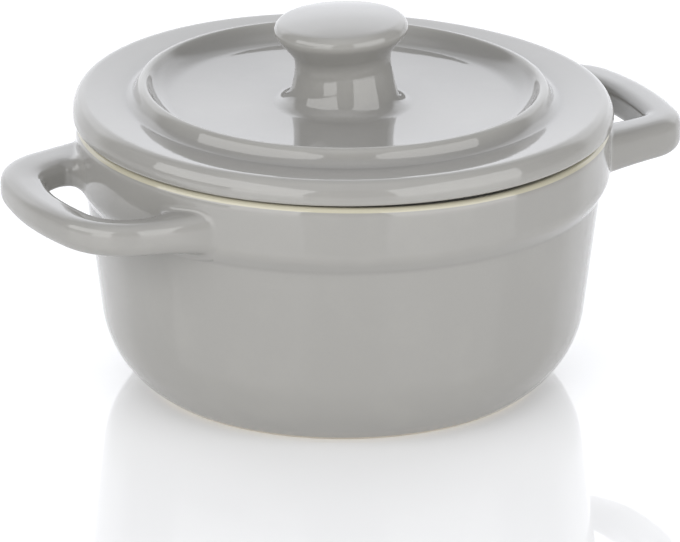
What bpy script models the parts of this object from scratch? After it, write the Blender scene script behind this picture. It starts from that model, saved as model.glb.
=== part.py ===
"""Small ceramic casserole pot with two loop handles and a knobbed lift-off lid.

Metres, +Z up.  The origin is on the table under the middle of the pot.  The
handles lie along X, and the lid lifts straight up along Z.
"""
import math

import bmesh
import bpy
from mathutils import Vector

# Pot, outside: the rim is the top of a plain band that steps in to a tapered wall
RIM_RADIUS = 0.0516
RIM_HEIGHT = 0.05165
RIM_OUTER_ROUND = 0.0016
RIM_INNER_ROUND = 0.0010
BAND_HEIGHT = 0.01155
SHOULDER_HEIGHT = 0.0060
BAND_STEP = 0.0021
SHOULDER_ROUND = 0.0090
WALL_TAPER = math.radians(7.7)
BELLY_RADIUS = 0.0202
FOOT_INSET = 0.0073

# Pot, inside and underneath
WALL_THICKNESS = 0.0046
FLOOR_THICKNESS = 0.0048
INNER_CORNER_RADIUS = 0.0140
FOOT_RING_WIDTH = 0.0040
FOOT_RECESS = 0.0012
FOOT_ROUND = 0.0008

# Lid, from its edge to its middle, heights above the face that sits on the rim
LID_OVERHANG = 0.0004
LID_EDGE_HEIGHT = 0.0049
LID_EDGE_LEAN = 0.00135
LID_EDGE_ROUND = 0.0019
LID_FACE_HEIGHT = 0.00245
LID_FACE_ROUND = 0.0040
LID_BOTTOM_ROUND = 0.0009
LID_BAND_FALL = 0.00095
BEAD_RADIUS = 0.03855
BEAD_HEIGHT = 0.0032
BEAD_TOP_WIDTH = 0.0013
BEAD_OUTER_SPREAD = 0.0014
BEAD_INNER_SPREAD = 0.0021
BEAD_ROUND = 0.0010
BEAD_GROOVE_ROUND = 0.0020
DISC_LEVEL = 0.00325
DISC_RISE = 0.0008
DISC_FLAT_SPREAD = 0.0097
DISC_DISH_ROUND = 0.2300
DISC_CORNER_ROUND = 0.0050

# Lid, underneath: a flange that drops inside the pot's mouth
LID_THICKNESS = 0.0036
FLANGE_DEPTH = 0.0038
FLANGE_WIDTH = 0.0032
FLANGE_CLEARANCE = 0.0008
FLANGE_ROUND = 0.0010

# Knob
KNOB_HEIGHT = 0.01755
KNOB_DOME_RADIUS = 0.01175
KNOB_DOME = 0.00115
KNOB_DOME_ROUND = 0.0010
KNOB_EDGE_SPREAD = 0.0011
KNOB_EDGE_DROP = 0.00075
KNOB_EDGE_ROUND = 0.0020
KNOB_SIDE_HEIGHT = 0.00175
KNOB_UNDER_ROUND = 0.0018
KNOB_NECK_DROP = 0.00425
KNOB_NECK_ROUND = 0.0036
KNOB_WAIST_RADIUS = 0.0092
KNOB_WAIST_HEIGHT = 0.0068
KNOB_WAIST_ROUND = 0.0110
KNOB_STEM_RADIUS = 0.0110
KNOB_FOOT_FLARE = 0.0036
KNOB_FOOT_HEIGHT = 0.0004
KNOB_FOOT_ROUND = 0.0030

# Handles: a bar with a rounded section, bent to a loop that swells where it meets the band
HANDLE_PROJECTION = 0.0167
HANDLE_BAR_WIDTH = 0.0074
HANDLE_BAR_HEIGHT = 0.0075
HANDLE_SQUARENESS = 2.6
HANDLE_DROP = 0.00805
HANDLE_SPREAD = math.radians(15.5)
HANDLE_ROOT_WIDTH = 0.0420
HANDLE_BEND = 0.0060
HANDLE_SWELL = 0.20

# Clearance between pieces that touch on the real pot
SEAT_GAP = 0.0003

# Facets
TURN_STEPS = 64
KNOB_STEPS = 40
FILLET_STEP = math.radians(30)
BELLY_STEP = math.radians(10)
DOME_POINTS = 7
BAR_SIDES = 16
FRONT_POINTS = 9
BEND_POINTS = 6
ARM_POINTS = 6
MERGE = 0.00002

# Finish
GLAZE_GREY = (0.46, 0.455, 0.435, 1.0)
GLAZE_ROUGHNESS = 0.12
SMOOTH_ANGLE = math.radians(35)

# Worked-out heights and radii that several pieces share
LID_SEAT = RIM_HEIGHT + SEAT_GAP
LID_RADIUS = RIM_RADIUS + LID_OVERHANG
BAND_BOTTOM = RIM_HEIGHT - BAND_HEIGHT
SHOULDER_BOTTOM = BAND_BOTTOM - SHOULDER_HEIGHT
FLOOR_LEVEL = FOOT_RECESS + FLOOR_THICKNESS
DISC_EDGE_LEVEL = DISC_LEVEL + DISC_RISE
KNOB_FOOT_RADIUS = KNOB_STEM_RADIUS + KNOB_FOOT_FLARE


def clear_scene():
    """Remove whatever the open file holds."""
    for obj in list(bpy.data.objects):
        bpy.data.objects.remove(obj, do_unlink=True)


def new_collection(name):
    """Add a collection under the scene."""
    collection = bpy.data.collections.new(name)
    bpy.context.scene.collection.children.link(collection)
    return collection


def glaze_material(name):
    """Glossy grey stoneware glaze."""
    material = bpy.data.materials.new(name)
    material.use_nodes = True
    shader = material.node_tree.nodes["Principled BSDF"]
    shader.inputs["Base Color"].default_value = GLAZE_GREY
    shader.inputs["Roughness"].default_value = GLAZE_ROUGHNESS
    shader.inputs["Metallic"].default_value = 0.0
    return material


def rounded(corners):
    """Outline through corners (x, y, fillet), each corner eased by an arc of its fillet radius.

    A fillet is limited so that its tangents take at most half of the shorter side beside it.
    """
    points = [Vector(corners[0][:2])]
    for before, corner, after in zip(corners, corners[1:], corners[2:]):
        here = Vector(corner[:2])
        to_before = Vector(before[:2]) - here
        to_after = Vector(after[:2]) - here
        turn = math.pi - to_before.angle(to_after)
        reach = min(to_before.length, to_after.length) / 2
        tangent = min(corner[2] * math.tan(turn / 2), reach)
        if tangent < MERGE:
            points.append(here)
            continue
        first = here + to_before.normalized() * tangent
        last = here + to_after.normalized() * tangent
        radius = tangent / math.tan(turn / 2)
        middle = (to_before.normalized() + to_after.normalized()).normalized()
        centre = here + middle * math.hypot(radius, tangent)
        count = max(2, math.ceil(turn / FILLET_STEP))
        start = first - centre
        sweep = start.angle_signed(last - centre)
        for index in range(count + 1):
            swing = -sweep * index / count
            cosine = math.cos(swing)
            sine = math.sin(swing)
            arm = Vector((start.x * cosine - start.y * sine, start.x * sine + start.y * cosine))
            points.append(centre + arm)
    points.append(Vector(corners[-1][:2]))
    return points


def turned(name, outline, steps, collection):
    """Solid of revolution: an outline from the axis out, down the outer side and back to the axis."""
    mesh = bpy.data.meshes.new(name)
    form = bmesh.new()
    verts = [form.verts.new((point.x, 0.0, point.y)) for point in outline]
    for upper, lower in zip(verts, verts[1:]):
        form.edges.new((upper, lower))
    form.to_mesh(mesh)
    form.free()
    obj = bpy.data.objects.new(name, mesh)
    collection.objects.link(obj)
    screw = obj.modifiers.new("turn", "SCREW")
    screw.axis = "Z"
    screw.angle = math.tau
    screw.steps = steps
    screw.render_steps = steps
    screw.use_merge_vertices = True
    screw.merge_threshold = MERGE
    screw.use_smooth_shade = True
    return obj


def wall_radius(height):
    """Radius of the tapered wall's outer face, carried on up and down, at a height."""
    return RIM_RADIUS - BAND_STEP + (height - SHOULDER_BOTTOM) * math.tan(WALL_TAPER)


def mouth_radius(height):
    """Radius of the inner wall at a height: parallel to the outer wall, one thickness in."""
    return wall_radius(height) - WALL_THICKNESS / math.cos(WALL_TAPER)


def foot_radius():
    """Outer radius of the ring that stands on the table."""
    return wall_radius(0.0) - FOOT_INSET


def belly_outline():
    """Arc from the wall's tangent point down to the foot.

    The arc touches the straight wall and passes through the foot's outer edge, which lies a
    known distance inside the wall's line, so the tangent point follows from that distance.
    """
    inset = FOOT_INSET * math.cos(WALL_TAPER)
    rise = math.sqrt(2 * BELLY_RADIUS * inset - inset * inset)
    outward = Vector((math.cos(WALL_TAPER), -math.sin(WALL_TAPER)))
    along = Vector((math.sin(WALL_TAPER), math.cos(WALL_TAPER)))
    foot = Vector((foot_radius(), 0.0))
    touch = foot + outward * inset + along * rise
    centre = touch - outward * BELLY_RADIUS
    start = math.atan2(outward.y, outward.x)
    to_foot = foot - centre
    end = math.atan2(to_foot.y, to_foot.x)
    count = max(4, math.ceil((start - end) / BELLY_STEP))
    points = []
    for index in range(count + 1):
        angle = start + (end - start) * index / count
        points.append(centre + BELLY_RADIUS * Vector((math.cos(angle), math.sin(angle))))
    return points


def pot_outside():
    """Outer face of the pot from the rim's top corner down to the foot."""
    upper = rounded([
        (mouth_radius(RIM_HEIGHT), RIM_HEIGHT, 0.0),
        (RIM_RADIUS, RIM_HEIGHT, RIM_OUTER_ROUND),
        (RIM_RADIUS, BAND_BOTTOM, SHOULDER_ROUND),
        (wall_radius(SHOULDER_BOTTOM), SHOULDER_BOTTOM, SHOULDER_ROUND),
        (belly_outline()[0].x, belly_outline()[0].y, 0.0),
    ])
    return upper[1:] + belly_outline()[1:]


def pot_body(collection):
    """Open pot: floor, inner wall, rim, banded outer wall and a foot ring."""
    inside = rounded([
        (0.0, FLOOR_LEVEL, 0.0),
        (mouth_radius(FLOOR_LEVEL), FLOOR_LEVEL, INNER_CORNER_RADIUS),
        (mouth_radius(RIM_HEIGHT), RIM_HEIGHT, RIM_INNER_ROUND),
        (RIM_RADIUS, RIM_HEIGHT, 0.0),
    ])
    outside = pot_outside()
    ring = foot_radius() - FOOT_RING_WIDTH
    underneath = rounded([
        (foot_radius(), 0.0, 0.0),
        (ring, 0.0, FOOT_ROUND),
        (ring - FOOT_RECESS, FOOT_RECESS, FOOT_ROUND),
        (0.0, FOOT_RECESS, 0.0),
    ])
    body = turned("pot_body", inside[:-1] + outside + underneath[1:], TURN_STEPS, collection)
    body.data.materials.append(glaze_material("pot_body_glaze"))
    return body


def lid_body(collection):
    """Lid: rounded edge, wide band, raised bead, dished disc, and a flange underneath."""
    groove_level = LID_EDGE_HEIGHT - LID_BAND_FALL
    bead_level = groove_level + BEAD_HEIGHT
    crest_in = BEAD_RADIUS - BEAD_TOP_WIDTH / 2
    crest_out = BEAD_RADIUS + BEAD_TOP_WIDTH / 2
    disc_radius = crest_in - BEAD_INNER_SPREAD
    flange_outer = mouth_radius(LID_SEAT - FLANGE_DEPTH) - FLANGE_CLEARANCE
    flange_inner = flange_outer - FLANGE_WIDTH
    outline = rounded([
        (0.0, DISC_LEVEL, 0.0),
        (KNOB_FOOT_RADIUS + DISC_FLAT_SPREAD, DISC_LEVEL, DISC_DISH_ROUND),
        (disc_radius, DISC_EDGE_LEVEL, DISC_CORNER_ROUND),
        (crest_in, bead_level, BEAD_ROUND),
        (crest_out, bead_level, BEAD_ROUND),
        (crest_out + BEAD_OUTER_SPREAD, groove_level, BEAD_GROOVE_ROUND),
        (LID_RADIUS - LID_EDGE_LEAN, LID_EDGE_HEIGHT, LID_EDGE_ROUND),
        (LID_RADIUS, LID_FACE_HEIGHT, LID_FACE_ROUND),
        (LID_RADIUS, 0.0, LID_BOTTOM_ROUND),
        (flange_outer, 0.0, 0.0),
        (flange_outer, -FLANGE_DEPTH, FLANGE_ROUND),
        (flange_inner, -FLANGE_DEPTH, FLANGE_ROUND),
        (flange_inner, DISC_EDGE_LEVEL - LID_THICKNESS, FLANGE_ROUND),
        (0.0, DISC_LEVEL - LID_THICKNESS, 0.0),
    ])
    lid = turned("lid", outline, TURN_STEPS, collection)
    lid.location.z = LID_SEAT
    lid.data.materials.append(glaze_material("lid_glaze"))
    return lid


def lid_knob(lid, collection):
    """Mushroom knob: shallow dome, rounded edge, short side, drawn-in waist and a foot that runs out."""
    dome = []
    for index in range(DOME_POINTS):
        share = index / DOME_POINTS
        dome.append(Vector((KNOB_DOME_RADIUS * share, KNOB_HEIGHT - KNOB_DOME * share ** 2)))
    dome_edge = KNOB_HEIGHT - KNOB_DOME
    edge_level = dome_edge - KNOB_EDGE_DROP
    under_level = edge_level - KNOB_SIDE_HEIGHT
    head_radius = KNOB_DOME_RADIUS + KNOB_EDGE_SPREAD
    outline = rounded([
        (dome[-1].x, dome[-1].y, 0.0),
        (KNOB_DOME_RADIUS, dome_edge, KNOB_DOME_ROUND),
        (head_radius, edge_level, KNOB_EDGE_ROUND),
        (head_radius, under_level, KNOB_UNDER_ROUND),
        (KNOB_WAIST_RADIUS, under_level - KNOB_NECK_DROP, KNOB_NECK_ROUND),
        (KNOB_WAIST_RADIUS, KNOB_WAIST_HEIGHT, KNOB_WAIST_ROUND),
        (KNOB_STEM_RADIUS, KNOB_FOOT_HEIGHT, KNOB_FOOT_ROUND),
        (KNOB_FOOT_RADIUS, 0.0, 0.0),
        (0.0, 0.0, 0.0),
    ])
    knob = turned("lid_knob", dome[:-1] + outline, KNOB_STEPS, collection)
    knob.parent = lid
    knob.location.z = DISC_LEVEL + SEAT_GAP
    knob.data.materials.append(glaze_material("lid_knob_glaze"))
    return knob


def handle_path():
    """Bar's middle line in plan with its swelling, from one root round to the other.

    The front runs round the pot's axis, a bend turns each end inwards, and a straight arm
    carries on into the wall.  The swelling grows with the square of the way along an arm.
    """
    front = RIM_RADIUS + HANDLE_PROJECTION - HANDLE_BAR_WIDTH / 2
    corner = front * Vector((math.cos(HANDLE_SPREAD), math.sin(HANDLE_SPREAD)))
    half_root = HANDLE_ROOT_WIDTH / 2
    inside_wall = RIM_RADIUS - WALL_THICKNESS / 2
    root = Vector((math.sqrt(inside_wall ** 2 - half_root ** 2), half_root))
    arm = (root - corner).normalized()
    bend_angle = HANDLE_SPREAD - HANDLE_BEND / front
    bend_start = front * Vector((math.cos(bend_angle), math.sin(bend_angle)))
    bend_end = corner + arm * HANDLE_BEND
    half = []
    for index in range(FRONT_POINTS):
        angle = bend_angle * index / FRONT_POINTS
        half.append((front * Vector((math.cos(angle), math.sin(angle))), 1.0))
    for index in range(BEND_POINTS):
        along = index / BEND_POINTS
        point = bend_start * (1 - along) ** 2 + corner * (2 * along * (1 - along)) + bend_end * along ** 2
        half.append((point, 1.0))
    for index in range(ARM_POINTS + 1):
        along = index / ARM_POINTS
        half.append((bend_end.lerp(root, along), 1.0 + HANDLE_SWELL * along ** 2))
    other = [(Vector((point.x, -point.y)), swell) for point, swell in half[:0:-1]]
    return other + half


def bar_section(collection):
    """Rounded-rectangle section of the bar, a superellipse, as a closed guide curve."""
    curve = bpy.data.curves.new("bar_section", "CURVE")
    curve.dimensions = "2D"
    spline = curve.splines.new("POLY")
    spline.points.add(BAR_SIDES - 1)
    spline.use_cyclic_u = True
    power = 2 / HANDLE_SQUARENESS
    for index, point in enumerate(spline.points):
        angle = math.tau * (index + 0.5) / BAR_SIDES
        across = math.copysign(abs(math.cos(angle)) ** power, math.cos(angle))
        upward = math.copysign(abs(math.sin(angle)) ** power, math.sin(angle))
        point.co = (across * HANDLE_BAR_WIDTH / 2, upward * HANDLE_BAR_HEIGHT / 2, 0.0, 1.0)
    guide = bpy.data.objects.new("bar_section", curve)
    guide.hide_render = True
    guide.display_type = "WIRE"
    collection.objects.link(guide)
    return guide


def handle_bar(section, collection):
    """Mesh of one whole bar, its ends still running into the wall."""
    curve = bpy.data.curves.new("handle_bar", "CURVE")
    curve.dimensions = "3D"
    curve.twist_mode = "Z_UP"
    curve.bevel_mode = "OBJECT"
    curve.bevel_object = section
    curve.use_fill_caps = True
    path = handle_path()
    spline = curve.splines.new("POLY")
    spline.points.add(len(path) - 1)
    for point, (place, swell) in zip(spline.points, path):
        point.co = (place.x, place.y, RIM_HEIGHT - HANDLE_DROP, 1.0)
        point.radius = swell
    bent = bpy.data.objects.new("handle_bar", curve)
    collection.objects.link(bent)
    bpy.context.view_layer.update()
    evaluated = bent.evaluated_get(bpy.context.evaluated_depsgraph_get())
    mesh = bpy.data.meshes.new_from_object(evaluated)
    bpy.data.objects.remove(bent)
    form = bmesh.new()
    form.from_mesh(mesh)
    bmesh.ops.remove_doubles(form, verts=form.verts, dist=MERGE)
    bmesh.ops.recalc_face_normals(form, faces=form.faces)
    form.to_mesh(mesh)
    form.free()
    mesh.shade_smooth()
    mesh.set_sharp_from_angle(angle=SMOOTH_ANGLE)
    return mesh


def wall_cutter(collection):
    """Pot's outer form, grown by the seat gap, that trims the handles' roots to the wall."""
    grown = [Vector((point.x + SEAT_GAP, point.y)) for point in pot_outside()]
    outline = [Vector((0.0, grown[0].y))] + grown + [Vector((0.0, grown[-1].y))]
    cutter = turned("wall_cutter", outline, TURN_STEPS, collection)
    cutter.hide_render = True
    cutter.display_type = "WIRE"
    return cutter


def handles(collection, cutters):
    """Two loops, half a turn apart, each trimmed to the pot's wall."""
    section = bar_section(cutters)
    bar = handle_bar(section, collection)
    cutter = wall_cutter(cutters)
    for name, turn in (("handle_right", 0.0), ("handle_left", math.pi)):
        handle = bpy.data.objects.new(name, bar.copy())
        handle.rotation_euler.z = turn
        collection.objects.link(handle)
        trim = handle.modifiers.new("trim", "BOOLEAN")
        trim.operation = "DIFFERENCE"
        trim.object = cutter
        handle.data.materials.append(glaze_material(name + "_glaze"))


def main():
    """Build the pot, its handles, the lid and the knob."""
    clear_scene()
    parts = new_collection("casserole_pot")
    cutters = new_collection("cutters")
    pot_body(parts)
    handles(parts, cutters)
    lid = lid_body(parts)
    lid_knob(lid, parts)


main()
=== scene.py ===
"""Looks of a small ceramic casserole pot: glossy grey glaze outside, cream glaze inside.

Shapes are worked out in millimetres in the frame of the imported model, +Z up and the handles
along X, and go into the meshes in metres.
"""
import math
from typing import NamedTuple

import bpy
import numpy as np
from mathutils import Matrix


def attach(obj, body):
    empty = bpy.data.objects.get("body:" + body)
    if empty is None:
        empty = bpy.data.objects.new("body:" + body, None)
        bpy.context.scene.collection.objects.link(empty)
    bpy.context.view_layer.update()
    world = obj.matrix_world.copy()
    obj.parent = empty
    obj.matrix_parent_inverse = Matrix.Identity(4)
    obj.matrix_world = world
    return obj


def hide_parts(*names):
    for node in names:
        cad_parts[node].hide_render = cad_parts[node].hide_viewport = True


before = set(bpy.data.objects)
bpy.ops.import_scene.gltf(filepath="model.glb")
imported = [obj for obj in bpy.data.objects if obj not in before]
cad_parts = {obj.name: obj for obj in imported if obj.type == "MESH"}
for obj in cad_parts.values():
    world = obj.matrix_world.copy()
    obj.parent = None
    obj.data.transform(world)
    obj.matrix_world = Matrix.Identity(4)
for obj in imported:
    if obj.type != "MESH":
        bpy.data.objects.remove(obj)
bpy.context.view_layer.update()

MM = 0.001


class Section(NamedTuple):
    """A bar's section: the level of its middle, half its height, its inner half width, and its roll."""

    level: float
    half_height: float
    inner: float
    roll: float


class Arm(NamedTuple):
    """A handle's arm: the turn in degrees from the middle of the handle to the arm's bend, the root's
    distance from that middle, the section, how many times it swells towards the root, and how much
    wider its inner side gets there."""

    turn: float
    root: float
    section: Section
    swell: float
    flare: float


class Loop(NamedTuple):
    """A handle as it was set by hand: its reach, the length of its bends, the section of its front, and
    its arms, the left one first, as seen from the pot."""

    reach: float
    bend: float
    front: Section
    arms: tuple


# Turned pieces: radius, height and rounding of each corner, from the axis round to the axis again
POT_CORNERS = (
    (0.0, 6.0, 0.0),      # middle of the floor inside
    (41.1, 6.0, 14.0),    # where the floor turns up into the wall
    (47.3, 51.35, 1.0),   # rim, inner edge
    (51.0, 51.35, 0.8),   # rim, outer edge
    (51.6, 50.2, 3.0),    # top of the band
    (51.6, 41.0, 4.5),    # bottom of the band
    (49.75, 38.1, 1.2),   # top of the tapered wall
    (45.6, 5.0, 19.6),    # belly
    (37.6, 0.0, 0.5),     # foot ring, outer edge
    (33.6, 0.0, 0.8),     # foot ring, inner edge
    (32.4, 1.2, 0.8),     # recess under the floor
    (0.0, 1.2, 0.0),
)
LID_CORNERS = (
    (0.0, 55.2, 0.0),     # middle of the disc
    (24.5, 55.2, 232.0),  # where the disc starts to rise
    (35.8, 56.03, 5.2),   # disc, outer edge
    (37.9, 59.2, 0.8),    # bead, inner crest
    (39.2, 59.1, 1.3),    # bead, outer crest
    (40.6, 55.9, 2.0),    # groove round the bead
    (50.65, 56.86, 1.9),  # lid's edge, turn at the top
    (52.0, 54.4, 4.0),    # lid's edge, middle
    (52.0, 51.98, 0.9),   # lid's edge, bottom
    (46.0, 51.98, 0.4),   # flange, root
    (46.0, 48.2, 1.0),    # flange, outer edge
    (42.8, 48.2, 1.0),    # flange, inner edge
    (42.8, 52.4, 1.0),    # underside
    (0.0, 51.6, 0.0),
)
KNOB_TOP = 73.05
DOME_SHARE = 0.9          # how far out the dome goes before its edge turns down
KNOB_CORNERS = (
    (11.75, 71.9, 1.0),   # edge of the dome
    (12.85, 71.15, 2.0),  # head, top of its side
    (12.85, 69.4, 1.8),   # head, bottom of its side
    (9.3, 65.15, 3.6),    # under the head
    (9.12, 62.9, 7.0),    # waist
    (9.86, 59.0, 25.0),   # stem
    (11.0, 55.2, 3.2),    # foot, run out on the disc
    (16.0, 55.19, 0.2),   # sunk below the disc
    (14.0, 54.4, 0.2),
    (0.0, 54.4, 0.0),
)

# How far the glaze softens the turns of each profile
POT_SOFT = 0.35
LID_SOFT = 0.20
KNOB_SOFT = 0.35

# Heights or radii between which one glaze, or the bare clay, runs into the next
POT_CREAM = (50.30, 50.70)
LID_CREAM = (45.2, 45.8)
BARE_HEIGHT = (0.25, 0.60)
BARE_RADIUS = (33.0, 33.4)

# Unevenness from the firing and from setting the knob by hand.  Pairs are heights or radii between
# which it comes in, and waves have a size, a count round the pot, a twist with height and a start
WAVES = (
    (0.030, 3, 0.06, 0.4),
    (0.008, 7, -0.11, 0.0),
)
WAVES_ABOVE = (2.0, 20.0)
WAVES_RADIUS = 50.0
TILT = 0.47
TILT_TURN = math.radians(158.9)
SADDLE = 0.36
SADDLE_TURN = math.radians(-65.1)
OVAL = 0.42
OVAL_TURN = math.radians(121.3)
EDGE_RADIUS = 52.0        # of the lid
SEATED = 0.3              # share of tilt and saddle that reaches the seat
SEAT_UP_TO = (52.5, 56.0)
RIM_ABOVE = (45.0, 51.0)
RIM_DIP = 0.42
RIM_DIP_TURN = math.radians(-13.7)
RIM_DIP_CHANGE = 2.2
RIM_HOLLOW = 0.9
RIM_HOLLOW_TURN = math.radians(-91.0)
RIM_HOLLOW_POWER = 4
RIM_EDGES = (47.3, 51.0)
KNOB_LEAN = math.tan(math.radians(2.9))
LEAN_TURN = math.radians(151.3)
LEAN_FROM = 62.3          # height of the line about which the knob leans
LEAN_ABOVE = (55.5, 58.5)
SINK_ABOVE = (57.0, 64.0)
UNDER_LEAN = 1.5          # how many times more it sinks under the head
UNDER_HEAD = (65.5, 70.0)

# Handles: a bar, rounder outside than inside, bent to a loop, its roots run out on the band
BAR_HALF_WIDTH = 3.75
OUTER_SQUARENESS = 3.0
INNER_SQUARENESS = 3.4
ROOT_RADIUS = 49.3
FILLET_INNER = 2.2
FILLET_OUTER = 1.2
FILLET_LEVEL = 1.0
SUNK_PAST = 0.8           # where a root dips below the wall: past its fillet, and below the wall
SUNK_BELOW = 0.03
END_PAST = 0.6            # where a root ends inside the wall
END_BELOW = 1.0
RIGHT_LOOP = Loop(64.0, 4.2, Section(45.0, 3.45, 3.75, 0.0), (
    Arm(13.2, 23.0, Section(45.7, 2.4, 3.75, 0.0), swell=1.0, flare=0.0),
    Arm(17.5, 22.3, Section(44.6, 4.0, 3.75, 0.0), swell=1.1, flare=0.0),
))
LEFT_LOOP = Loop(64.8, 7.4, Section(43.4, 3.35, 3.75, 0.10), (
    Arm(17.2, 23.3, Section(43.4, 3.35, 3.75, 0.14), swell=1.27, flare=0.0),
    Arm(16.6, 22.4, Section(44.45, 2.85, 6.0, 0.02), swell=1.0, flare=2.4),
))

# Fineness
FINE = 0.04               # step of a profile while it is softened
BELL_REACH = 3            # how far the softening reaches, in standard deviations
GAP = 1.3                 # longest step of the finished profile
TURN = math.radians(6)    # largest turn in such a step
ARC_POINTS = 25
LINE_POINTS = 40
ROUND = 288               # points round a turned piece
BAR_ROUND = 96            # points round a bar
SWELL_RINGS = 12
FILLET_RINGS = 18
SAME_PLACE = 1e-9

# Finish: linear colours, and noises with a size, a detail and a seed
GREY = (0.317, 0.310, 0.292)
# Lighter grey, laid on sharp bulges by how the profile bends, and in noise clouds
LIGHTER_GREY = (0.430, 0.420, 0.385)
# Darker grey, laid in sharp hollows by how the profile bends, and in grain noise
DARKER_GREY = (0.260, 0.255, 0.243)
CREAM = (0.510, 0.480, 0.370)
CLAY = (0.640, 0.570, 0.450)
CLOUD = (9.0, 3.0, 0.31)
GRAIN = (0.7, 2.0, 0.77)
RIPPLE = (3.5, 1.0, 0.12)
NOISE_SHIFT = (1.0, 0.7, -1.0)
NOISE_ROUGHNESS = 0.5
SHARP = 1.2               # radius of a turn that counts as sharp
# Share of lighter grey on sharp bulges, by how the profile bends, and in noise clouds
LIGHTER_ON_BULGES = 0.2
THIN_IN_CLOUDS = 0.35
# Share of darker grey in sharp hollows, by how the profile bends, and in grain noise
DARKER_IN_HOLLOWS = 0.7
POOLED_IN_GRAIN = 0.25
CREAM_RAGGED = 0.5
CREAM_BORDER = (0.35, 0.65)
GLAZE_ROUGHNESS = 0.045
GRAIN_ROUGHNESS = 0.02
BARE_ROUGHNESS = 0.6
GLAZE_IOR = 1.52
RIPPLE_DEPTH = 0.000012   # metres
GRAIN_DEPTH = 0.12        # share of the ripple's

# Table top, in metres
FLOOR_REACH = 4.0
FLOOR_LEVEL = -0.00004
FLOOR_WHITE = (0.85, 0.85, 0.85)
FLOOR_ROUGHNESS = 0.03
FLOOR_IOR = 1.5
FLOOR_GLOW = 0.15

# Camera, in metres and, for the lens, millimetres
AZIMUTH = math.radians(-28.7)
ELEVATION = math.radians(20.1)
DISTANCE = 1.747
AIM = (-0.00060, 0.0, 0.0204)
LENS = 476.5
SENSOR = 36.0
CLIP_END = 20.0

# Light from the room by direction.  Pairs are shares of away, towards or up between which it comes in
LIGHT_COLOUR = (0.97, 0.985, 1.03)
ROOM_LIGHT = 0.21
SWEEP_LIGHT = 1.12
SWEEP_AWAY = (0.42, 0.62)
SWEEP_RISE = 0.78
SWEEP_RISE_UP = (0.10, 0.35)
SWEEP_FALL = 0.9
SWEEP_FALL_UP = (0.50, 0.70)
LOW_LIGHT = 0.4
LOW_AWAY = (0.75, 0.92)
LOW_UP = (0.12, 0.36)
TOP_LIGHT = 0.6
TOP_UP = (0.80, 0.95)
FRONT_LIGHT = 0.52
FRONT_TOWARDS = (0.20, 0.50)
FRONT_UP = (0.50, 0.60)
SEEN_LIGHT = 1.1          # of the backdrop behind the pot

# Softboxes: name, turn from the camera's side and rise in degrees, width and height, and radiance
SOFTBOXES = (
    ("left_softbox", -50.7, 21.0, (1.59, 0.64), 2.26),
    ("left_softbox_skirt", -32.0, -0.2, (0.64, 0.20), 2.22),
    ("right_softbox", 48.3, 16.0, (1.31, 0.80), 2.12),
)
SOFTBOX_DISTANCE = 1.2
SOFTBOX_AIM = (0.0, 0.0, 0.05)
SOFTBOX_POWER = 4.0       # watts for a square metre and one unit of radiance


def eased(corners):
    """Line through corners, each replaced by the arc of its rounding that touches both sides.

    An arc's centre lies on the corner's bisector, and the arc swings to both sides of it by half
    of the corner's turn.
    """
    corners = np.array(corners)
    points = corners[:, :2]
    here = points[1:-1]
    to_before = points[:-2] - here
    to_after = points[2:] - here
    to_before /= np.linalg.norm(to_before, axis=1, keepdims=True)
    to_after /= np.linalg.norm(to_after, axis=1, keepdims=True)
    turn = math.pi - np.arccos(np.sum(to_before * to_after, axis=1))
    inward = to_before + to_after
    inward /= np.linalg.norm(inward, axis=1, keepdims=True)
    along = to_after - to_before
    along /= np.linalg.norm(along, axis=1, keepdims=True)
    rounding = corners[1:-1, 2]
    centre = here + inward * (rounding / np.cos(turn / 2))[:, None]
    swing = turn[:, None] * np.linspace(-0.5, 0.5, ARC_POINTS)
    arcs = (centre[:, None]
            - inward[:, None] * (rounding[:, None] * np.cos(swing))[..., None]
            + along[:, None] * (rounding[:, None] * np.sin(swing))[..., None])
    return np.vstack([points[:1], arcs.reshape(-1, 2), points[-1:]])


def evened(line, gap):
    """The same line with points at even distances."""
    way = np.concatenate([[0.0], np.cumsum(np.hypot(*np.diff(line, axis=0).T))])
    keep = np.concatenate([[True], np.diff(way) > SAME_PLACE])
    places = np.linspace(0.0, way[-1], round(way[-1] / gap) + 1)
    return np.stack([np.interp(places, way[keep], axis[keep]) for axis in line.T], axis=-1)


def profile(line, soft):
    """Profile of a turned piece with its turns softened, as glaze softens them.

    A Gaussian along the line blurs its points, with the line mirrored past the axis so that it
    stays level there.  The points are then spread so that both the gap and the turn from one to
    the next stay small.  Returns radius, height and bend (turn per millimetre, below zero where
    the surface bulges).
    """
    line = evened(line, FINE)
    reach = int(BELL_REACH * soft / FINE)
    bell = np.exp(-0.5 * (np.arange(-reach, reach + 1) * FINE / soft) ** 2)
    bell /= bell.sum()
    past_axis = np.array([-1.0, 1.0])
    padded = np.vstack([line[reach:0:-1] * past_axis, line, line[-2:-reach - 2:-1] * past_axis])
    radius = np.convolve(padded[:, 0], bell, "valid")
    height = np.convolve(padded[:, 1], bell, "valid")
    step_out = np.gradient(radius)
    step_up = np.gradient(height)
    length = np.hypot(step_out, step_up)
    bend = np.gradient(np.unwrap(np.arctan2(step_up, step_out))) / length
    load = np.cumsum(length * (1 / GAP + np.abs(bend) / TURN))
    places = np.linspace(load[0], load[-1], round(load[-1] - load[0]) + 1)
    return tuple(np.interp(places, load, values) for values in (radius, height, bend))


def smoothstep(low, high, values):
    """0 below low, 1 above high, and an S-curve between."""
    share = np.clip((values - low) / (high - low), 0.0, 1.0)
    return share * share * (3 - 2 * share)


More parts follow.
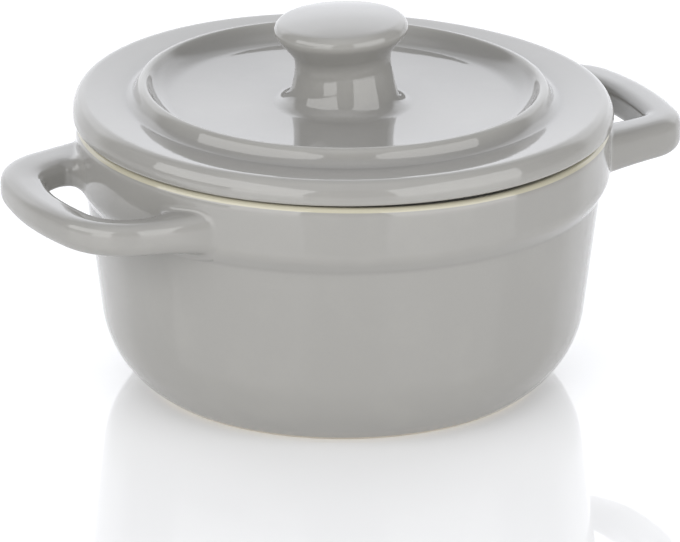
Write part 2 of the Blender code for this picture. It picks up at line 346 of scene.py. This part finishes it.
def skin(name, rings, start, end, marks):
    """Closed mesh over rings of points, with one point closing each end.

    Neighbouring points on neighbouring rings make a quad, and the end rings fan in to their
    points.  The faces are turned outwards by the sign of the volume they enclose.  Marks hold one
    number per ring, or per point, for the materials.
    """
    rows, columns = rings.shape[:2]
    points = np.vstack([rings.reshape(-1, 3), start, end]) * MM
    index = np.arange(rows * columns).reshape(rows, columns)
    beside = np.roll(index, -1, axis=1)
    quads = np.stack([index[:-1], beside[:-1], beside[1:], index[1:]], axis=-1).reshape(-1, 4)
    first = np.stack([beside[0], index[0], np.full(columns, rows * columns)], axis=-1)
    last = np.stack([index[-1], beside[-1], np.full(columns, rows * columns + 1)], axis=-1)
    corners = np.vstack([quads[:, :3], quads[:, [0, 2, 3]], first, last])
    a, b, c = (points[corners[:, i]] for i in range(3))
    if np.sum(a * np.cross(b, c)) < 0:
        quads, first, last = quads[:, ::-1], first[:, ::-1], last[:, ::-1]
    mesh = bpy.data.meshes.new(name)
    mesh.from_pydata(points.tolist(), [], quads.tolist() + first.tolist() + last.tolist())
    mesh.shade_smooth()
    for mark, values in marks.items():
        values = np.broadcast_to(np.reshape(values, (rows, -1)), (rows, columns))
        values = np.concatenate([values.ravel(), values[0, :1], values[-1, :1]])
        attribute = mesh.attributes.new(mark, "FLOAT", "POINT")
        attribute.data.foreach_set("value", values.astype(np.float32))
    piece = bpy.data.objects.new(name, mesh)
    bpy.context.scene.collection.objects.link(piece)
    return piece


def turned(name, radius, height, marks, settle):
    """Surface of revolution: a profile carried round the Z axis, then settled by a warp."""
    angle = np.arange(ROUND) * math.tau / ROUND
    rings = np.stack([
        np.outer(radius, np.cos(angle)),
        np.outer(radius, np.sin(angle)),
        np.outer(height, np.ones(ROUND)),
    ], axis=-1)
    marks = {mark: values[1:-1] for mark, values in marks.items()}
    start = np.array([0.0, 0.0, height[0]])
    end = np.array([0.0, 0.0, height[-1]])
    return skin(name, settle(rings[1:-1]), settle(start), settle(end), marks)


def bulging(bend):
    """How sharply the surface bulges: 1 on a sharp bulge, 0 on a flat, -1 in a sharp hollow."""
    return np.clip(-bend * SHARP, -1.0, 1.0)


def pot_settle(points):
    """Slight unevenness of a pressed and fired pot: long, low waves in its radius, and an uneven rim.

    The waves are sines round the pot.  The rim lies low on one half and high on the other, with a quick
    change between them, and its inner edge sinks over a stretch, by a power of a cosine.
    """
    x, y, z = np.moveaxis(points, -1, 0)
    angle = np.arctan2(y, x)
    wave = sum(size * np.sin(count * angle + twist * z + start) for size, count, twist, start in WAVES)
    grow = 1 + wave * smoothstep(*WAVES_ABOVE, z) / WAVES_RADIUS
    dip = RIM_DIP * np.tanh(RIM_DIP_CHANGE * np.cos(angle - RIM_DIP_TURN))
    hollow = RIM_HOLLOW * np.maximum(np.cos(angle - RIM_HOLLOW_TURN), 0) ** RIM_HOLLOW_POWER
    hollow *= 1 - smoothstep(*RIM_EDGES, np.hypot(x, y))
    return np.stack([x * grow, y * grow, z - (dip + hollow) * smoothstep(*RIM_ABOVE, z)], axis=-1)


def lid_settle(points):
    """Slight unevenness of a fired lid: a tilt, a saddle whose two opposite sides lift, and an oval plan.

    The tilt grows with the radius, the saddle with its square, and it goes twice round with the
    angle, as the oval does.  Only a share of tilt and saddle reaches the seat, which follows the rim.
    """
    x, y, z = np.moveaxis(points, -1, 0)
    angle = np.arctan2(y, x)
    out = np.hypot(x, y) / EDGE_RADIUS
    rise = TILT * out * np.cos(angle - TILT_TURN)
    rise += SADDLE * out ** 2 * np.cos(2 * (angle - SADDLE_TURN))
    rise *= SEATED + (1 - SEATED) * smoothstep(*SEAT_UP_TO, z)
    grow = 1 + OVAL / EDGE_RADIUS * np.cos(2 * (angle - OVAL_TURN))
    return np.stack([x * grow, y * grow, z + rise], axis=-1)


def knob_settle(points):
    """Slight lean of the hand-set knob: it turns a little about a level line, its foot stays.

    A point moves towards the lean by its height above that line, and sinks by how far it lies
    towards the lean, under the head more than on top.
    """
    x, y, z = np.moveaxis(lid_settle(points), -1, 0)
    towards = x * math.cos(LEAN_TURN) + y * math.sin(LEAN_TURN)
    shift = KNOB_LEAN * (z - LEAN_FROM) * smoothstep(*LEAN_ABOVE, z)
    more = UNDER_LEAN + (1 - UNDER_LEAN) * smoothstep(*UNDER_HEAD, z)
    sink = KNOB_LEAN * towards * more * smoothstep(*SINK_ABOVE, z)
    return np.stack([x + shift * math.cos(LEAN_TURN), y + shift * math.sin(LEAN_TURN), z - sink], axis=-1)


def pot():
    """Pot with its band, tapered wall, belly, foot ring and plain inside."""
    radius, height, bend = profile(eased(POT_CORNERS), POT_SOFT)
    way = np.arange(len(radius))
    rim = np.argmax(radius + height)
    cream = np.where(way < rim, 1.0, smoothstep(*POT_CREAM, height))
    bare = (1 - smoothstep(*BARE_HEIGHT, height)) * smoothstep(*BARE_RADIUS, radius)
    marks = {"cream": cream, "bare": bare, "bulge_mark": bulging(bend)}
    piece = turned("pot_shell", radius, height, marks, pot_settle)
    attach(piece, "pot")
    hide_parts("pot_body")
    return piece


def lid():
    """Lid with its rounded edge, band, bead and disc, and a flange underneath."""
    radius, height, bend = profile(eased(LID_CORNERS), LID_SOFT)
    way = np.arange(len(radius))
    edge = np.argmax(radius - height)
    cream = np.where(way > edge, 1 - smoothstep(*LID_CREAM, radius), 0.0)
    marks = {"cream": cream, "bare": np.zeros_like(radius), "bulge_mark": bulging(bend)}
    piece = turned("lid_shell", radius, height, marks, lid_settle)
    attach(piece, "lid")
    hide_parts("lid")
    return piece


def knob():
    """Mushroom knob: a shallow dome, which is a parabola, a full edge, a waist, and a foot on the disc."""
    share = np.linspace(0.0, DOME_SHARE, LINE_POINTS)
    reach, level, _ = KNOB_CORNERS[0]
    dome = np.stack([reach * share, KNOB_TOP - (KNOB_TOP - level) * share ** 2], axis=-1)
    line = np.vstack([dome, eased(((*dome[-1], 0.0), *KNOB_CORNERS))])
    radius, height, bend = profile(line, KNOB_SOFT)
    marks = {"cream": np.zeros_like(radius), "bare": np.zeros_like(radius), "bulge_mark": bulging(bend)}
    piece = turned("knob_shell", radius, height, marks, knob_settle)
    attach(piece, "lid")
    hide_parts("lid_knob")
    return piece


def wall_at(height):
    """Radius of the pot's outer wall, without its unevenness, at some heights."""
    radius, level, _ = profile(eased(POT_CORNERS), POT_SOFT)
    outside = slice(np.argmax(radius + level), np.argmax(radius - level) + 1)
    return np.interp(height, level[outside][::-1], radius[outside][::-1])


def loop_line(reach, length, spread, aside):
    """Half of the bar's middle line in plan, from the front's middle to the end of its bend.

    The front is an arc round the pot's axis, and the bend a parabola from the arc on to the
    straight arm, whose root lies aside of the middle.  Returns the points and the arm's direction,
    towards the pot.
    """
    corner = reach * np.array([math.cos(spread), math.sin(spread)])
    root = np.array([math.sqrt(ROOT_RADIUS ** 2 - aside ** 2), aside])
    arm = (root - corner) / np.linalg.norm(root - corner)
    angle = np.linspace(0.0, spread - length / reach, LINE_POINTS)
    front = reach * np.stack([np.cos(angle), np.sin(angle)], axis=-1)
    share = np.linspace(0.0, 1.0, LINE_POINTS)[1:, None]
    bend = (front[-1] * (1 - share) ** 2 + corner * 2 * share * (1 - share)
            + (corner + arm * length) * share ** 2)
    return np.vstack([front, bend]), arm


def bar_rings(line, tangent, level, half_height, inner, roll):
    """Rings of the bar's section, square to a line in plan, with a size for each ring.

    The section is two half superellipses, and a roll raises its outer side and lowers its inner one.
    """
    angle = (np.arange(BAR_ROUND) + 0.5) * math.tau / BAR_ROUND
    power = np.where(np.cos(angle) > 0, OUTER_SQUARENESS, INNER_SQUARENESS)
    half_width = np.where(np.cos(angle) > 0, BAR_HALF_WIDTH, inner[:, None])
    size = (np.abs(np.cos(angle) / half_width) ** power
            + np.abs(np.sin(angle) / half_height[:, None]) ** power) ** (-1 / power)
    across = size * np.cos(angle)
    rise = size * np.sin(angle) + roll[:, None] * across
    outward = np.stack([tangent[:, 1], -tangent[:, 0]], axis=-1)
    plan = line[:, None] + outward[:, None] * across[:, :, None]
    return np.concatenate([plan, (level[:, None] + rise)[:, :, None]], axis=-1)


def root_rings(last, arm, swell, flare):
    """Rings that carry a bar on to the wall and spread out on it with a fillet.

    Each point of the last ring runs along the arm to where it meets the wall, and moves out from
    the bar's middle with the square of its way, on the inner side by the flare as well.  A parabola
    there leaves the bar one fillet before the wall and touches the wall one fillet further out.  The
    ring then dips just below the wall.
    """
    middle = last.mean(axis=0)
    outward = np.array([arm[1], -arm[0]])
    side = (last[:, :2] - middle[:2]) @ outward / BAR_HALF_WIDTH
    grow = (last - middle) * (swell - 1)
    grow[:, :2] -= outward * (flare * np.clip(-side, 0, 1))[:, None]
    grown = last + grow
    wall = wall_at(grown[:, 2])
    forward = grown[:, :2] @ arm
    reach = -forward - np.sqrt(forward ** 2 - np.sum(grown[:, :2] ** 2, axis=1) + wall ** 2)
    run = np.column_stack([arm * reach[:, None], np.zeros(len(reach))])
    met = grown + run
    angle = np.arctan2(met[:, 1], met[:, 0])
    around = np.stack([angle * wall, met[:, 2]], axis=-1)
    edge = np.roll(around, -1, axis=0) - np.roll(around, 1, axis=0)
    away = np.stack([edge[:, 1], -edge[:, 0]], axis=-1)
    away /= np.linalg.norm(away, axis=1, keepdims=True)
    away *= np.sign(np.sum(away * (around - around.mean(axis=0))))
    fillet = (FILLET_LEVEL + (FILLET_OUTER - FILLET_LEVEL) * np.clip(side, 0, 1) ** 2
              + (FILLET_INNER - FILLET_LEVEL) * np.clip(-side, 0, 1) ** 2)

    def on_wall(spread, depth):
        place = around + away * spread[:, None]
        radius = wall_at(place[:, 1]) - depth
        turn = place[:, 0] / wall
        return np.column_stack([radius * np.cos(turn), radius * np.sin(turn), place[:, 1]])

    left = 1 - (fillet / np.linalg.norm(met - last, axis=1))[:, None]
    touch = on_wall(fillet, 0.0)
    share = np.linspace(0.0, 1.0, SWELL_RINGS + 1)[1:, None, None] * left
    swelling = last + run * share + grow * share ** 2
    corner = swelling[-1] + (run + 2 * grow * left) * (1 - left)
    share = np.linspace(0.0, 1.0, FILLET_RINGS + 1)[1:, None, None]
    curve = swelling[-1] * (1 - share) ** 2 + corner * 2 * share * (1 - share) + touch * share ** 2
    sunk = on_wall(fillet + SUNK_PAST, SUNK_BELOW)
    end = on_wall(fillet + END_PAST, END_BELOW)
    return np.concatenate([swelling, curve, sunk[None], end[None]])


def half_loop(loop, arm):
    """Rings of half a handle, from the front's middle along the bar and out on the wall.

    The bar's level and section go from the front's to the arm's with an S-curve.
    """
    line, towards = loop_line(loop.reach, loop.bend, math.radians(arm.turn), arm.root)
    tangent = np.gradient(line, axis=0)
    tangent[0] = (0.0, 1.0)
    tangent[-1] = towards
    tangent /= np.linalg.norm(tangent, axis=1, keepdims=True)
    way = np.concatenate([[0.0], np.cumsum(np.linalg.norm(np.diff(line, axis=0), axis=1))])
    share = smoothstep(0.0, way[-1], way)
    sections = (first + (last - first) * share for first, last in zip(loop.front, arm.section))
    bar = bar_rings(line, tangent, *sections)
    return np.concatenate([bar, root_rings(bar[-1], towards, arm.swell, arm.flare)])


def handle(name, node, facing, loop):
    """Loop handle: half a bar and its root on one side, and the other half mirrored to the other."""
    half, other = (half_loop(loop, arm) for arm in loop.arms)
    other = other[:0:-1] * np.array([1.0, -1.0, 1.0])
    rings = np.concatenate([other, half]) * np.array([facing, facing, 1.0])
    start = rings[0].mean(axis=0)
    end = rings[-1].mean(axis=0)
    marks = {mark: np.zeros(len(rings)) for mark in ("cream", "bare", "bulge_mark")}
    piece = skin(name, pot_settle(rings), pot_settle(start), pot_settle(end), marks)
    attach(piece, "pot")
    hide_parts(node)
    return piece


class Signal:
    """An output of a shader node.  Arithmetic on it adds Math nodes."""

    def __init__(self, tree, socket=None):
        self.tree = tree
        self.socket = socket

    def node(self, kind, settings=None, sockets=None, out=0):
        """Add a node: its settings first, then the values or links of its sockets."""
        made = self.tree.nodes.new(kind)
        for name, value in (settings or {}).items():
            setattr(made, name, value)
        for name, value in (sockets or {}).items():
            if isinstance(value, Signal):
                self.tree.links.new(value.socket, made.inputs[name])
            else:
                made.inputs[name].default_value = value
        return Signal(self.tree, made.outputs[out] if made.outputs else None)

    def math(self, operation, first, second):
        """Result of a Math node on two signals or numbers."""
        return self.node("ShaderNodeMath", {"operation": operation}, {0: first, 1: second})

    def __add__(self, other):
        return self.math("ADD", self, other)

    __radd__ = __add__

    def __sub__(self, other):
        return self.math("SUBTRACT", self, other)

    def __rsub__(self, other):
        return self.math("SUBTRACT", other, self)

    def __mul__(self, other):
        return self.math("MULTIPLY", self, other)

    __rmul__ = __mul__

    def at_least(self, low):
        """This value, or low where it is below that."""
        return self.math("MAXIMUM", self, low)

    def step(self, low, high):
        """0 below low, 1 above high, and an S-curve between."""
        return self.node("ShaderNodeMapRange", {"interpolation_type": "SMOOTHSTEP"},
                         {"Value": self, "From Min": low, "From Max": high})

    def mix(self, low, high):
        """Colour between two colours, by this value."""
        return self.node("ShaderNodeMix", {"data_type": "RGBA"}, {0: self, 6: low, 7: high}, 2)


def opaque(colour):
    """The colour with full alpha."""
    return (*colour, 1.0)


def new_material(name):
    """A material with one empty node tree, and a Signal to build it with."""
    material = bpy.data.materials.new(name)
    material.use_nodes = True
    material.node_tree.nodes.clear()
    return material, Signal(material.node_tree)


def noise(start, place, size, detail, seed):
    """Soft noise from 0 to 1 with features of a size in millimetres."""
    shift = tuple(seed * axis for axis in NOISE_SHIFT)
    moved = start.node("ShaderNodeVectorMath", {"operation": "ADD"}, {0: place, 1: shift})
    return start.node("ShaderNodeTexNoise", {}, {
        "Vector": moved, "Scale": 1 / (size * MM), "Detail": detail, "Roughness": NOISE_ROUGHNESS}, "Fac")


def stoneware():
    """Glossy grey glaze, lighter grey on sharp bulges and in noise clouds, darker grey in sharp hollows,
    cream glaze inside, bare clay under the foot.
    """
    material, start = new_material("grey_glaze")
    place = start.node("ShaderNodeTexCoord", out="Object")
    cream = start.node("ShaderNodeAttribute", {"attribute_name": "cream"}, out="Fac")
    bare = start.node("ShaderNodeAttribute", {"attribute_name": "bare"}, out="Fac")
    bulge_mark = start.node("ShaderNodeAttribute", {"attribute_name": "bulge_mark"}, out="Fac")
    cloud = noise(start, place, *CLOUD)
    grain = noise(start, place, *GRAIN)
    ripple = noise(start, place, *RIPPLE)
    # Lighter grey on sharp bulges, by how the profile bends, and in noise clouds
    lightening = (bulge_mark * LIGHTER_ON_BULGES + (cloud - 0.5) * THIN_IN_CLOUDS).at_least(0.0)
    # Darker grey in sharp hollows, by how the profile bends, and in grain noise
    darkening = ((0.0 - bulge_mark) * DARKER_IN_HOLLOWS + (grain - 0.5) * POOLED_IN_GRAIN).at_least(0.0)
    grey = darkening.mix(lightening.mix(opaque(GREY), opaque(LIGHTER_GREY)), opaque(DARKER_GREY))
    edge = (cream + (cloud - 0.5) * CREAM_RAGGED * cream * (1 - cream)).step(*CREAM_BORDER)
    colour = bare.mix(edge.mix(grey, opaque(CREAM)), opaque(CLAY))
    rough = GLAZE_ROUGHNESS + grain * GRAIN_ROUGHNESS + bare * BARE_ROUGHNESS
    bump = start.node("ShaderNodeBump", {}, {
        "Strength": 1.0, "Distance": RIPPLE_DEPTH, "Height": ripple + grain * GRAIN_DEPTH}, "Normal")
    shader = start.node("ShaderNodeBsdfPrincipled", {}, {
        "Base Color": colour, "Roughness": rough, "IOR": GLAZE_IOR, "Normal": bump}, "BSDF")
    start.node("ShaderNodeOutputMaterial", {}, {"Surface": shader})
    return material


def floor():
    """Pale, glossy table top."""
    mesh = bpy.data.meshes.new("table_top")
    sides = ((-1, -1), (1, -1), (1, 1), (-1, 1))
    corners = [(x * FLOOR_REACH, y * FLOOR_REACH, FLOOR_LEVEL) for x, y in sides]
    mesh.from_pydata(corners, [], [(0, 1, 2, 3)])
    piece = bpy.data.objects.new("table_top", mesh)
    bpy.context.scene.collection.objects.link(piece)
    material, start = new_material("white_acrylic")
    shader = start.node("ShaderNodeBsdfPrincipled", {}, {
        "Base Color": opaque(FLOOR_WHITE), "Roughness": FLOOR_ROUGHNESS, "IOR": FLOOR_IOR,
        "Emission Color": opaque((1.0, 1.0, 1.0)), "Emission Strength": FLOOR_GLOW}, "BSDF")
    start.node("ShaderNodeOutputMaterial", {}, {"Surface": shader})
    mesh.materials.append(material)


def from_camera(right, away, up):
    """World direction or place from the camera's right, away along the floor, and up."""
    return np.array([
        right * math.cos(AZIMUTH) - away * math.sin(AZIMUTH),
        right * math.sin(AZIMUTH) + away * math.cos(AZIMUTH),
        up,
    ])


def camera():
    """Long lens at the photograph's angle."""
    data = bpy.data.cameras.new("camera")
    data.lens = LENS
    data.sensor_width = SENSOR
    data.clip_end = CLIP_END
    piece = bpy.data.objects.new("camera", data)
    back = from_camera(0.0, -math.cos(ELEVATION), math.sin(ELEVATION))
    piece.location = from_camera(*AIM) + back * DISTANCE
    piece.rotation_euler = (math.pi / 2 - ELEVATION, 0.0, AZIMUTH)
    bpy.context.scene.collection.objects.link(piece)
    bpy.context.scene.camera = piece


def softbox(name, side, height, size, radiance):
    """Rectangular light facing the pot, at a turn from the camera's side and a rise in degrees."""
    data = bpy.data.lights.new(name, "AREA")
    data.shape = "RECTANGLE"
    data.size, data.size_y = size
    data.energy = SOFTBOX_POWER * radiance * size[0] * size[1]
    piece = bpy.data.objects.new(name, data)
    turn = math.radians(side)
    rise = math.radians(height)
    level = math.cos(rise)
    back = from_camera(math.sin(turn) * level, -math.cos(turn) * level, math.sin(rise))
    piece.location = back * SOFTBOX_DISTANCE + np.array(SOFTBOX_AIM)
    piece.rotation_euler = (math.pi / 2 - rise, 0.0, AZIMUTH + turn)
    piece.visible_camera = False
    bpy.context.scene.collection.objects.link(piece)


def studio():
    """White backdrop behind the pot, dim room in front, and softboxes on both sides of the camera."""
    world = bpy.data.worlds.new("studio")
    bpy.context.scene.world = world
    world.use_nodes = True
    world.node_tree.nodes.clear()
    start = Signal(world.node_tree)
    direction = start.node("ShaderNodeTexCoord", out="Generated")
    away = start.node("ShaderNodeVectorMath", {"operation": "DOT_PRODUCT"},
                      {0: direction, 1: tuple(from_camera(0.0, 1.0, 0.0))}, "Value")
    up = start.node("ShaderNodeSeparateXYZ", {}, {"Vector": direction}, "Z")
    change = up.step(*SWEEP_RISE_UP) * SWEEP_RISE - up.step(*SWEEP_FALL_UP) * SWEEP_FALL
    sweep = away.step(*SWEEP_AWAY) * (SWEEP_LIGHT + change)
    low = away.step(*LOW_AWAY) * (1 - up.step(*LOW_UP)) * LOW_LIGHT
    top = up.step(*TOP_UP)
    front = (0.0 - away).step(*FRONT_TOWARDS) * up.step(*FRONT_UP) * FRONT_LIGHT
    light = ROOM_LIGHT + sweep * (1 - top) + low + top * TOP_LIGHT + front
    seen = start.node("ShaderNodeLightPath", out="Is Camera Ray")
    strength = light * (1 - seen) + seen * SEEN_LIGHT
    backdrop = start.node("ShaderNodeBackground", {}, {"Color": opaque(LIGHT_COLOUR), "Strength": strength})
    start.node("ShaderNodeOutputWorld", {}, {"Surface": backdrop})
    for box in SOFTBOXES:
        softbox(*box)
    bpy.context.scene.view_settings.view_transform = "Standard"


def main():
    """Make the pieces, give them their glaze, and set the table, the camera and the light."""
    glaze = stoneware()
    pieces = [
        pot(),
        handle("handle_right_loop", "handle_right", 1.0, RIGHT_LOOP),
        handle("handle_left_loop", "handle_left", -1.0, LEFT_LOOP),
        lid(),
        knob(),
    ]
    for piece in pieces:
        piece.data.materials.append(glaze)
    floor()
    camera()
    studio()


main()
